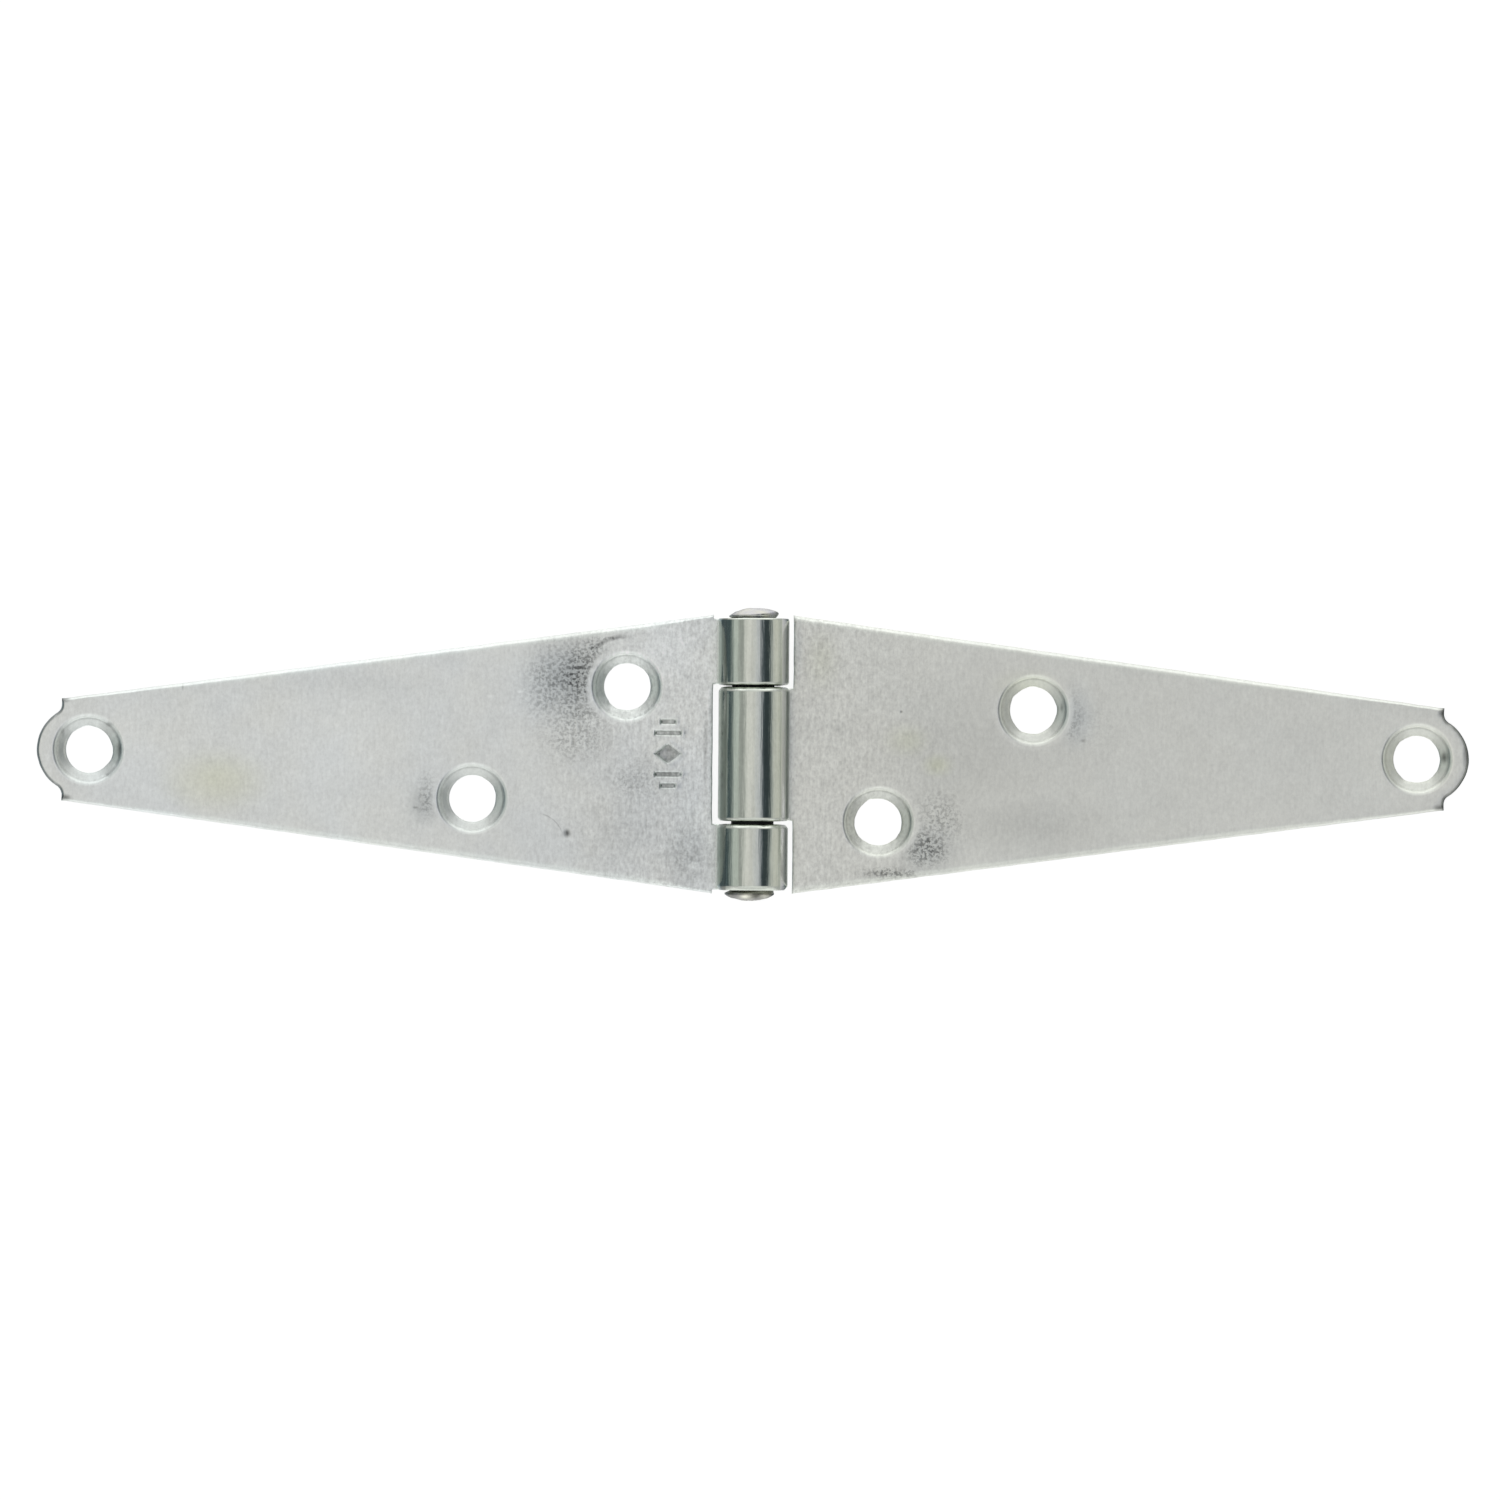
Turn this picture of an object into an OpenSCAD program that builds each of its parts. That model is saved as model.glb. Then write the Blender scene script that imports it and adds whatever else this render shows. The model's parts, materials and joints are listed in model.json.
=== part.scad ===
// Light strap hinge, lying open and flat on its back faces.
// Origin: on the back faces, straight below the middle of the pin.
// +X runs along the leaves, +Y along the pin, +Z out of the front face.

/* [Leaves] */
// Distance from the pin axis to the tip of a leaf
leaf_len = 76.2; // [70:0.1:90]
// Thickness of the sheet that both leaves are cut from
sheet = 1.5; // [1.2:0.1:1.8]
// Leaf width where its two straight edges would meet the pin axis
root_w = 30.8; // [29.6:0.1:34]
// Leaf width at the square shoulders beside the round tongue
shoulder_w = 10.9; // [10.2:0.1:12]
// Radius of the round tongue at the tip
tongue_r = 4.65; // [4.4:0.05:4.8]
// Distance from the tip back to the shoulders
tongue_len = 2.65; // [2.4:0.05:3]
// Radius of the hollow between a shoulder and the tongue
ear_r = 0.8; // [0.4:0.1:0.9]

/* [Knuckles] */
// Outside radius of the rolled knuckles
knuckle_r = 3.8; // [3.5:0.1:4.2]
// Length of the single middle knuckle
middle_len = 14.1; // [12:0.1:15]
// Length of each of the two end knuckles
end_len = 7.0; // [6:0.1:7.2]
// Gap between neighbouring knuckles, along the pin
knuckle_gap = 0.35; // [0.2:0.05:0.5]
// Gap between a knuckle and the free edge of the other leaf
swing_gap = 0.45; // [0.3:0.05:1]
// How far the rolled end stops above the leaf's plane, as an angle below the axis
seam_angle = 33; // [15:1:35]

/* [Pin] */
// Clearance all round the pin in the knuckles
pin_play = 0.05; // [0.03:0.01:0.15]
// Diameter of the peened heads
head_d = 5.3; // [4.9:0.1:6]
// Height of the peened heads
head_h = 1.15; // [0.9:0.05:1.5]

/* [Screw holes] */
// Diameter of the screw holes
hole_d = 4.95; // [4:0.05:5.2]
// Diameter of the countersinks at the front face
sink_d = 7.15; // [6.6:0.05:7.5]
// Full angle of the countersinks, in degrees
sink_angle = 90; // [82:1:100]
// Distance from the pin axis to the near hole
near_x = 13.4; // [12:0.1:16]
// Sideways offset of the near hole
near_y = 7.1; // [5:0.1:8]
// Distance from the pin axis to the middle hole
mid_x = 29.8; // [26:0.1:34]
// Sideways offset of the middle hole, to the other side
mid_y = 4.9; // [3:0.1:5]
// Distance from the tip to the hole in the tongue
tip_hole_in = 5.6; // [5.2:0.1:6.5]

/* [Hidden] */
$fn = 96;

// The pin turns in a bore that is as wide as the sheet leaves inside the roll.
bore_r = knuckle_r - sheet;
shank_r = bore_r - pin_play;
// Free edge of a leaf beside the other leaf's knuckles
free_x = knuckle_r + swing_gap;
shoulder_x = leaf_len - tongue_len;
tongue_x = leaf_len - tongue_r;
// Narrowing of each side, per millimetre of leaf
taper = (root_w - shoulder_w) / 2 / shoulder_x;
// Where the knuckles start and stop along the pin
middle_end = middle_len / 2;
outer_start = middle_end + knuckle_gap;
outer_end = outer_start + end_len;
sink_depth = (sink_d - hole_d) / 2 / tan(sink_angle / 2);
// Cutters run this far past what they cut
over = 1;

zinc = [0.76, 0.78, 0.77];
bright_zinc = [0.70, 0.72, 0.71];

function half_width(x) = root_w / 2 - taper * x;

// Hollow corner between one shoulder and the tongue, as a web cut by a circle
module ear_web() {
    cx = shoulder_x + ear_r;
    cy = sqrt(pow(tongue_r + ear_r, 2) - pow(cx - tongue_x, 2));
    difference() {
        polygon([[shoulder_x - over, 0], [shoulder_x - over, cy], [cx, cy], [tongue_x, 0]]);
        translate([cx, cy]) circle(r = ear_r);
    }
}

// Flat outline of a leaf from its free edge to its tip, pointing along +X
module leaf_outline() {
    polygon([
        [free_x, half_width(free_x)], [shoulder_x, half_width(shoulder_x)],
        [shoulder_x, -half_width(shoulder_x)], [free_x, -half_width(free_x)]
    ]);
    translate([tongue_x, 0]) circle(r = tongue_r);
    ear_web();
    mirror([0, 1]) ear_web();
}

// Cross-section of one knuckle: the sheet runs in under the pin and rolls up
// round the far side until it nearly meets its own front face again
module roll_section() {
    reach = 2 * knuckle_r;
    difference() {
        circle(r = knuckle_r);
        circle(r = bore_r);
        polygon([
            [0, 0], [0, -reach],
            [reach, -reach], [reach, -reach * tan(seam_angle)]
        ]);
    }
    translate([0, -knuckle_r]) square([free_x + over, sheet]);
}

// One knuckle with the tab that joins it to its leaf, between two places on the pin
module knuckle(from, to) {
    translate([0, to, knuckle_r])
        rotate([90, 0, 0])
            linear_extrude(to - from) roll_section();
}

// Screw hole with its countersink at the front face
module screw_hole(x, y) {
    translate([x, y, -over]) cylinder(d = hole_d, h = sheet + 2 * over);
    translate([x, y, sheet - sink_depth])
        cylinder(d1 = hole_d, d2 = hole_d + 2 * (sink_depth + over) * tan(sink_angle / 2),
                 h = sink_depth + over);
}

// A leaf pointing along +X, with a knuckle over each [from, to] stretch of the pin
module leaf(stretches) {
    difference() {
        union() {
            linear_extrude(sheet) leaf_outline();
            for (s = stretches) knuckle(s[0], s[1]);
        }
        screw_hole(near_x, -near_y);
        screw_hole(mid_x, mid_y);
        screw_hole(leaf_len - tip_hole_in, 0);
    }
}

// Leaf with the two end knuckles; the pin's heads seat on their outer ends
module frame_leaf() {
    color(zinc) rotate([0, 0, 180])
        leaf([[-outer_end, -outer_start], [outer_start, outer_end]]);
}

// Leaf with the single middle knuckle, which turns on the pin
module door_leaf() {
    color(zinc) leaf([[-middle_end, middle_end]]);
}

// Half profile of the pin: a straight shank with a low peened head on each end
module hinge_pin() {
    rim_r = head_d / 2;
    rim_low = outer_end + 0.3 * head_h;
    rim_high = outer_end + 0.5 * head_h;
    top = outer_end + head_h;
    crown_r = 0.45 * rim_r;
    neck_r = 0.92 * rim_r;
    upper = [
        [shank_r, outer_end], [neck_r, outer_end], [rim_r, rim_low],
        [rim_r, rim_high], [crown_r, top], [0, top]
    ];
    lower = [for (i = [len(upper) - 1 : -1 : 0]) [upper[i][0], -upper[i][1]]];
    color(bright_zinc) translate([0, 0, knuckle_r])
        rotate([-90, 0, 0]) rotate_extrude() polygon(concat(lower, upper));
}

frame_leaf();
door_leaf();
hinge_pin();
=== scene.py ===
"""Looks of the strap hinge: two zinc-plated leaves and their peened pin, open on a pale floor.

Lengths inside the builders are millimetres and angles degrees; meshes are scaled to metres when
made. Each leaf is built flat, in sheet coordinates, and then rolled. A sheet point is (u, y, w):
u runs from below the pin axis towards the tip (and backwards, below zero, round the knuckle),
y along the pin, and w from the back face, 0, to the front face, SHEET.
"""

import json
import math

import bpy
import numpy as np
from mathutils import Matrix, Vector
from mathutils.geometry import delaunay_2d_cdt


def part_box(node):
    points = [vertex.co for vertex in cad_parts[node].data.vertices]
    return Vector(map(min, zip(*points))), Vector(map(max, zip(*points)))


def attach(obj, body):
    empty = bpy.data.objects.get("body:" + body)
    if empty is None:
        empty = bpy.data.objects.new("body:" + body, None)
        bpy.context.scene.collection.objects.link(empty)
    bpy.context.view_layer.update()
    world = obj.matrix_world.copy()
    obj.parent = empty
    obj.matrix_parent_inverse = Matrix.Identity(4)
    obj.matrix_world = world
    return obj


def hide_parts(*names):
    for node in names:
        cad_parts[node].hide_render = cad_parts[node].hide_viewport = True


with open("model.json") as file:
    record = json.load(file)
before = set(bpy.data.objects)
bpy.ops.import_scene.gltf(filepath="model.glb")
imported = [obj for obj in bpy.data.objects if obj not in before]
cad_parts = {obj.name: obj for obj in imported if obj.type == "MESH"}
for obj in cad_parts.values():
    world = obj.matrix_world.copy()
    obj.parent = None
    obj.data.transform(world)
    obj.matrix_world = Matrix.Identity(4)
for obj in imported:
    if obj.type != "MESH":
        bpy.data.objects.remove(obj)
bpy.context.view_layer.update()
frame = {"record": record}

MM = 0.001

# ------------------------------------------------ sizes, from the frame where it has them
DOOR_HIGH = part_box("door_leaf")[1] / MM
PIN_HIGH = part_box("hinge_pin")[1] / MM
LEAF_LEN = DOOR_HIGH.x
KNUCKLE_R = DOOR_HIGH.z / 2
HEAD_TOP = PIN_HIGH.y
HEAD_R = PIN_HIGH.x
SHEET = 1.5
BORE_R = KNUCKLE_R - SHEET
PIN_R = BORE_R - 0.05
FREE_X = KNUCKLE_R + 0.45
MIDDLE_END = 7.05
OUTER_START = MIDDLE_END + 0.35
OUTER_END = OUTER_START + 7.0
SEAM_ANGLE = 33.0
TONGUE_R = 4.65
TONGUE_X = LEAF_LEN - TONGUE_R
SHOULDER_X = LEAF_LEN - 2.65
SHOULDER_HALF = 5.45
EAR_R = 0.8
TAPER = (DOOR_HIGH.y - SHOULDER_HALF) / (SHOULDER_X - FREE_X)
EAR_X = SHOULDER_X + EAR_R
EAR_Y = math.sqrt((TONGUE_R + EAR_R) ** 2 - (EAR_X - TONGUE_X) ** 2)
ROLL_LEN = KNUCKLE_R * math.radians(360 - 90 + SEAM_ANGLE)


def holes_of(leaf):
    """[(u, y, radius)] of the screw holes of one leaf, from the record's bore mounts."""
    found = []
    for mount in frame["record"]["mounts"]:
        if mount["kind"] == "bore" and mount["name"].startswith(leaf):
            x, y, _ = mount["pos_m"]
            turn = 1 if leaf == "door" else -1
            found.append((turn * x / MM, turn * y / MM, mount["dims"]["r_mm"]))
    return found


# ------------------------------------------------ smooth noise, the same on every run
def value_noise(points, cell, seed):
    """Smooth noise from -1 to 1 at 2-D points, on a lattice of the given cell size."""
    p = np.asarray(points, float) / cell
    base = np.floor(p).astype(np.int64)
    t = p - base
    t = t * t * (3 - 2 * t)

    def lattice(i, j):
        h = (i * 374761393 + j * 668265263 + seed * 2147483647) & 0xFFFFFFFF
        h = ((h ^ (h >> 13)) * 1274126177) & 0xFFFFFFFF
        return ((h ^ (h >> 16)) & 0xFFFF) / 32767.5 - 1

    i, j = base[:, 0], base[:, 1]
    low = lattice(i, j) * (1 - t[:, 0]) + lattice(i + 1, j) * t[:, 0]
    high = lattice(i, j + 1) * (1 - t[:, 0]) + lattice(i + 1, j + 1) * t[:, 0]
    return low * (1 - t[:, 1]) + high * t[:, 1]


def smoothstep(low, high, x):
    t = np.clip((np.asarray(x, float) - low) / (high - low), 0, 1)
    return t * t * (3 - 2 * t)


# ------------------------------------------------ outline of a leaf, in sheet coordinates
EDGE_STEP = 0.35
# Outline points stay this far from a corner: anywhere, beside the tongue, and where rings crowd
CORNER_CLEAR = 0.5
TONGUE_CLEAR = 0.15
ROOT_CLEAR = 1.1
ROLL_END_CLEAR = 0.8
# Angle between columns of points round a knuckle, in degrees
ROLL_STEP = 3.0


def half_width(u):
    return DOOR_HIGH.y - TAPER * (u - FREE_X)


def straight(a, b, clear_a=CORNER_CLEAR, clear_b=CORNER_CLEAR, step=EDGE_STEP):
    """Points on the way from a to b, a itself and not b, none close to a corner."""
    a, b = np.array(a, float), np.array(b, float)
    length = np.linalg.norm(b - a)
    inner = length - clear_a - clear_b
    points = [a]
    if inner > 0:
        count = max(1, int(round(inner / step)))
        points += [a + (b - a) * (clear_a + inner * k / count) / length for k in range(count + 1)]
    return points


def arc(centre, radius, start, end, step):
    """Points on an arc, both ends included; angles in degrees."""
    count = max(2, int(round(abs(end - start) / step)))
    return [
        np.array([
            centre[0] + radius * math.cos(math.radians(start + (end - start) * k / count)),
            centre[1] + radius * math.sin(math.radians(start + (end - start) * k / count)),
        ])
        for k in range(count + 1)
    ]


def tip_points():
    """The tip from the lower shoulder corner to the upper one: hollow, tongue, hollow."""
    lean = math.degrees(math.atan2(EAR_Y, EAR_X - TONGUE_X))
    points = straight((SHOULDER_X, -SHOULDER_HALF), (SHOULDER_X, -EAR_Y), clear_b=TONGUE_CLEAR)
    points += arc((EAR_X, -EAR_Y), EAR_R, 180, 180 - lean, 12)
    points += arc((TONGUE_X, 0), TONGUE_R, -lean, lean, 3)[1:-1]
    points += arc((EAR_X, EAR_Y), EAR_R, 180 + lean, 180, 12)
    upper = straight((SHOULDER_X, EAR_Y), (SHOULDER_X, SHOULDER_HALF), clear_a=TONGUE_CLEAR)
    return points + upper[1:]


def tab_points(stretch):
    """One knuckle's tab, walked from its upper side round the end of the roll to its lower side.

    A stretch is (low, high, low side, high side); a side is (chamfer, swell) of its rolled edge.
    """
    low, high, low_kind, high_kind = stretch
    angles = np.arange(ROLL_STEP, math.degrees(ROLL_LEN / KNUCKLE_R) - 1.9 * ROLL_STEP, ROLL_STEP)
    u = [FREE_X] + list(np.linspace(FREE_X - CORNER_CLEAR, 0, 10))
    u += [-KNUCKLE_R * math.radians(a) for a in angles]
    upper = [(np.array([x, high]), high_kind) for x in u]
    end_line = straight((-ROLL_LEN, high), (-ROLL_LEN, low), ROLL_END_CLEAR, ROLL_END_CLEAR)
    end = [(p, "end") for p in end_line]
    lower = [(np.array([x, low]), low_kind) for x in [-ROLL_LEN] + u[:0:-1]]
    return upper + end + lower


def leaf_outline(stretches):
    """Counter-clockwise outline: its points, and the kind of edge that starts at each."""
    root, tip = half_width(FREE_X), SHOULDER_HALF
    walk = [(p, "rim") for p in straight((FREE_X, -root), (SHOULDER_X, -tip))]
    walk += [(p, "tip") for p in tip_points()]
    walk += [(p, "rim") for p in straight((SHOULDER_X, tip), (FREE_X, root))]
    y = root
    for stretch in sorted(stretches, reverse=True):
        walk += [(p, "root") for p in straight((FREE_X, y), (FREE_X, stretch[1]), ROOT_CLEAR)]
        walk += tab_points(stretch)
        y = stretch[0]
    walk += [(p, "root") for p in straight((FREE_X, y), (FREE_X, -root), clear_b=ROOT_CLEAR)]
    return np.array([p for p, _ in walk]), [k for _, k in walk]


# ------------------------------------------------ profile of the cut edges
RINGS = 11


def flat_profile(width, depth, power, slant):
    """(inset, w) rings of a blanked edge: a long curve down from the front, then nearly upright."""
    shares = np.array([1.0, 0.78, 0.58, 0.41, 0.27, 0.15, 0.05])
    rolled_over = np.stack([slant + width * shares, SHEET - depth * (1 - shares) ** power], 1)
    wall = [(slant * 0.5, SHEET - depth - 0.12), (0.0, 0.30), (0.02, 0.05), (0.08, 0.0)]
    return np.concatenate([rolled_over, wall])


def roll_profile(chamfer, swell):
    """(inset, w) rings at the side of a rolled tab: swollen inside, drawn back outside."""
    inner = [(0.10 - swell, SHEET), (0.02 - swell, SHEET - 0.05), (-swell, SHEET - 0.15)]
    drop = 0.30 * chamfer / 0.36
    shares = np.linspace(0, 1, 5)[1:]
    lip = min(0.0, 0.12 - swell)
    falling = SHEET - 0.15 + (drop - SHEET + 0.15) * shares
    slope = np.stack([-swell + (lip + swell) * shares ** 2.5, falling], 1)
    outer = [
        (lip + chamfer * 0.35, drop * 0.66), (lip + chamfer * 0.7, drop * 0.30),
        (lip + chamfer, drop * 0.06), (lip + chamfer + 0.1, 0.0),
    ]
    return np.concatenate([inner, slope, outer])


def rim_width(u, crowded_root):
    """How far the drawn-down rim reaches in: less near the tongue and near an end knuckle."""
    width = 0.34 + 0.46 * (1 - smoothstep(50, 71, u))
    if crowded_root:
        width = 0.24 + (width - 0.24) * smoothstep(5, 12, u)
    return float(width)


def edge_rings(kind, point, crowded_root):
    """The (inset, w) rings of the edge that starts at an outline point."""
    if kind == "rim":
        return flat_profile(rim_width(point[0], crowded_root), 0.45, 2.5, 0.05)
    if kind == "tip":
        return flat_profile(0.26, 0.40, 2.2, 0.12)
    if kind == "root":
        return flat_profile(0.10, 0.14, 2.0, 0.0)
    if kind == "end":
        return flat_profile(0.12, 0.15, 2.0, 0.02)
    bent = float(smoothstep(0, 60, -math.degrees(point[0] / KNUCKLE_R)))
    return flat_profile(0.16, 0.2, 2.0, 0.0) * (1 - bent) + roll_profile(*kind) * bent


def side_normals(loop):
    """Inward unit normals of the sides before and after each point of a closed loop."""
    sides = loop - np.roll(loop, 1, 0), np.roll(loop, -1, 0) - loop
    return [
        np.stack([-side[:, 1], side[:, 0]], 1) / np.linalg.norm(side, axis=1)[:, None]
        for side in sides
    ]


def inset_rings(outline, kinds, seed):
    """Rings of sheet points (ring, point, 3) along the outline, from the front face to the back."""
    count = len(outline)
    knuckle_top = max(p[1] for p, k in zip(outline, kinds) if not isinstance(k, str))
    crowded = knuckle_top > half_width(FREE_X) - 1
    n0, n1 = side_normals(outline)
    rings = np.zeros((RINGS, count, 3))
    along = np.cumsum(np.linalg.norm(outline - np.roll(outline, 1, 0), axis=1))
    spots = np.stack([along, along * 0], 1)
    wobble = 0.018 * (1 + value_noise(spots, 1.7, seed))
    wobble = wobble + 0.012 * (1 + value_noise(spots, 0.5, seed + 1))
    for i in range(count):
        p0 = edge_rings(kinds[i - 1], outline[i], crowded)
        p1 = edge_rings(kinds[i], outline[i], crowded)
        if float(n0[i] @ n1[i]) > 0.98:
            normal = (n0[i] + n1[i]) / np.linalg.norm(n0[i] + n1[i])
            rings[:, i, :2] = outline[i] + normal * ((p0[:, :1] + p1[:, :1]) / 2 + wobble[i])
        else:
            both = np.stack([p0[:, 0], p1[:, 0]])
            rings[:, i, :2] = outline[i] + np.linalg.solve(np.array([n0[i], n1[i]]), both).T
        rings[:, i, 2] = (p0[:, 1] + p1[:, 1]) / 2
    return rings


# ------------------------------------------------ screw holes and the stamped mark
SINK_R = 3.50
SINK_LAND = 0.4
HOLE_SIDES = 96


def hole_profile(radius):
    """(radius, w) rings of a pressed countersink: rounded mouth, steep wall, flatter cone, bore."""
    mouth = [(SINK_R + 0.40 - 0.40 * k / 5, SHEET - 0.17 * (k / 5) ** 2.0) for k in range(6)]
    wall = [(SINK_R - 0.04, SHEET - 0.25), (SINK_R - 0.08, SHEET - 0.36)]
    cone_top, cone_low = (SINK_R - 0.14, SHEET - 0.43), (radius + 0.05, SINK_LAND + 0.16)
    cone = [tuple(np.array(cone_top) * (1 - k / 4) + np.array(cone_low) * k / 4) for k in range(5)]
    bore = [(radius, SINK_LAND + 0.08), (radius, 0.1), (radius + 0.02, 0.03), (radius + 0.08, 0.0)]
    return mouth + wall + cone + bore


def circle_points(centre, radius, ragged=0.0, seed=0):
    """A ring of points; ragged moves them outwards unevenly, as the torn edge of a bore is."""
    a = np.arange(HOLE_SIDES) * 2 * math.pi / HOLE_SIDES
    spots = np.stack([radius * np.cos(a), radius * np.sin(a)], 1)
    tear = value_noise(spots, 1.1, seed) + 0.5 * value_noise(spots, 0.45, seed + 1)
    r = radius + ragged * np.clip(tear - 0.1, 0, 1)
    return np.stack([centre[0] + r * np.cos(a), centre[1] + r * np.sin(a)], 1)


def lozenge(cx, cy, half_u, half_y):
    return np.array([(cx - half_u, cy), (cx, cy - half_y), (cx + half_u, cy), (cx, cy + half_y)])


def bar(cx, cy, half_u, half_y):
    corners = [(-1, -1), (1, -1), (1, 1), (-1, 1)]
    return np.array([(cx + half_u * a, cy + half_y * b) for a, b in corners])


STAMP_U, STAMP_Y = 9.0, 0.0
STAMP_DEPTH = 0.24


def stamp_shapes():
    """A plain mark beside the near hole: a lozenge between pairs of bars, the outer ones short."""
    pairs = [(2.2, 1.45), (3.4, 0.85)]
    bars = [bar(STAMP_U, STAMP_Y + side * y, half, 0.31) for y, half in pairs for side in (-1, 1)]
    return bars + [lozenge(STAMP_U, STAMP_Y, 1.5, 1.15)]


def dense_polygon(corners, step=0.12):
    """A polygon with points along its sides, kept off the corners so that it can be offset."""
    points = []
    for a, b in zip(corners, np.roll(corners, -1, 0)):
        points += straight(a, b, 0.3, 0.3, step)
    return np.array(points)


def offset_polygon(points, inset):
    """The polygon moved inwards (or outwards, below zero), mitred at the corners."""
    n0, n1 = side_normals(points)
    return points + inset * (n0 + n1) / (1 + np.sum(n0 * n1, 1))[:, None]


STAMP_RINGS = [(-0.26, 0.0), (-0.14, 0.05), (-0.03, 0.03), (0.10, -0.10), (0.22, -STAMP_DEPTH)]


# ------------------------------------------------ filling a face between loops
def inside(points, loop):
    """Whether each 2-D point lies inside the closed loop."""
    x, y = points[:, 0][:, None], points[:, 1][:, None]
    x0, y0 = loop[:, 0][None], loop[:, 1][None]
    x1, y1 = np.roll(loop[:, 0], -1)[None], np.roll(loop[:, 1], -1)[None]
    crosses = (y0 > y) != (y1 > y)
    with np.errstate(divide="ignore", invalid="ignore"):
        at = x0 + (y - y0) * (x1 - x0) / (y1 - y0)
    return (np.sum(crosses & (x < at), axis=1) % 2) == 1


def clearance(points, loops):
    """Distance from each point to the nearest loop point."""
    edge = np.concatenate(loops)
    best = np.full(len(points), 1e9)
    for start in range(0, len(points), 2000):
        part = points[start:start + 2000]
        best[start:start + 2000] = np.sqrt(((part[:, None] - edge[None]) ** 2).sum(2).min(1))
    return best


FACE_PITCH = 0.55
ROLL_PITCH = 0.6
# Grid points stay this far from the loops
LOOP_CLEAR = 0.24


def face_grid(outer):
    """Points for the inside of a face: columns round the roll, a triangular grid on the flat."""
    low, high = outer.min(0), outer.max(0)
    points = []
    roll = [-KNUCKLE_R * math.radians(a) for a in np.arange(0, 360, ROLL_STEP)]
    for u in roll:
        if u > low[0]:
            points += [(u, y) for y in np.arange(low[1], high[1], ROLL_PITCH)]
    for row, u in enumerate(np.arange(FACE_PITCH, high[0], FACE_PITCH * 0.866)):
        shift = FACE_PITCH / 2 if row % 2 else 0
        points += [(u, y) for y in np.arange(low[1] + shift, high[1], FACE_PITCH)]
    return np.array(points)


def fill(outer, inner, grid):
    """(points, triangles) between an outer loop and inner ones, with the loops' points first."""
    loops = [outer] + inner
    keep = inside(grid, outer) & (clearance(grid, loops) > LOOP_CLEAR)
    for loop in inner:
        keep &= ~inside(grid, loop)
    points = np.concatenate(loops + [grid[keep]])
    edges, start = [], 0
    for loop in loops:
        n = len(loop)
        edges += [(start + k, start + (k + 1) % n) for k in range(n)]
        start += n
    made = delaunay_2d_cdt([Vector(p) for p in points], edges, [], 0, 1e-6)
    faces, origin = made[2], made[3]
    first = [o[0] for o in origin]
    tris = np.array([[first[i] for i in f] for f in faces])
    middle = points[tris].mean(1)
    good = inside(middle, outer)
    for loop in inner:
        good &= ~inside(middle, loop)
    tris = tris[good]
    a, b, c = points[tris[:, 0]], points[tris[:, 1]], points[tris[:, 2]]
    area = (b - a)[:, 0] * (c - a)[:, 1] - (b - a)[:, 1] * (c - a)[:, 0]
    tris = tris[np.abs(area) > 1e-9]
    area = area[np.abs(area) > 1e-9]
    tris[area < 0] = tris[area < 0][:, ::-1]
    return points, tris


# ------------------------------------------------ a leaf as one closed mesh
class Shell:
    """Collects sheet points and faces of one leaf."""

    def __init__(self):
        self.points, self.faces, self.count = [], [], 0

    def add(self, points):
        start = self.count
        self.points.append(np.asarray(points, float))
        self.count += len(points)
        return np.arange(start, start + len(points))

    def stitch(self, a, b):
        """Quads between two loops of the same length; a is above b, with the solid on its left."""
        n = len(a)
        for k in range(n):
            m = (k + 1) % n
            self.faces.append((a[k], b[k], b[m], a[m]))

    def cover(self, outer_ids, inner_ids, loops, w, up):
        """Fills the face between loops whose points exist already, adding the points inside it."""
        points, tris = fill(loops[0], loops[1:], face_grid(loops[0]))
        known = np.concatenate([outer_ids] + inner_ids)
        extra = points[len(known):]
        added = self.add(np.column_stack([extra, np.full(len(extra), w)]))
        ids = np.concatenate([known, added])
        for t in tris:
            t = ids[t]
            self.faces.append(tuple(t) if up else tuple(t[::-1]))


def loop3(points, w):
    return np.column_stack([points, np.full(len(points), w)])


def build_sheet(leaf, stretches, stamped, seed):
    """The flat, closed sheet of one leaf: Shell in sheet coordinates."""
    shell = Shell()
    rim = inset_rings(*leaf_outline(stretches), seed)
    rings = [shell.add(r) for r in rim]
    for a, b in zip(rings, rings[1:]):
        shell.stitch(a, b)
    front_loops, front_ids = [rim[0][:, :2]], []
    back_loops, back_ids = [rim[-1][:, :2]], []
    for number, (u, y, radius) in enumerate(holes_of(leaf)):
        rounds = []
        for r, w in hole_profile(radius):
            torn = 0.10 * float(smoothstep(radius + 0.6, radius + 0.05, r))
            rounds.append(loop3(circle_points((u, y), r, torn, seed + 10 * number), w))
        circles = [shell.add(ring) for ring in rounds]
        for a, b in zip(circles, circles[1:]):
            shell.stitch(a[::-1], b[::-1])
        front_loops.append(rounds[0][:, :2])
        front_ids.append(circles[0])
        back_loops.append(rounds[-1][:, :2])
        back_ids.append(circles[-1])
    if stamped:
        for shape in stamp_shapes():
            base = dense_polygon(shape)
            walls = [offset_polygon(base, inset) for inset, _ in STAMP_RINGS]
            ids = [shell.add(loop3(p, SHEET + lift)) for p, (_, lift) in zip(walls, STAMP_RINGS)]
            for a, b in zip(ids, ids[1:]):
                shell.stitch(a[::-1], b[::-1])
            front_loops.append(walls[0])
            front_ids.append(ids[0])
            shell.cover(ids[-1], [], [walls[-1]], SHEET - STAMP_DEPTH, True)
    shell.cover(rings[0], front_ids, front_loops, SHEET, True)
    shell.cover(rings[-1], back_ids, back_loops, 0.0, False)
    return shell


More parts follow.
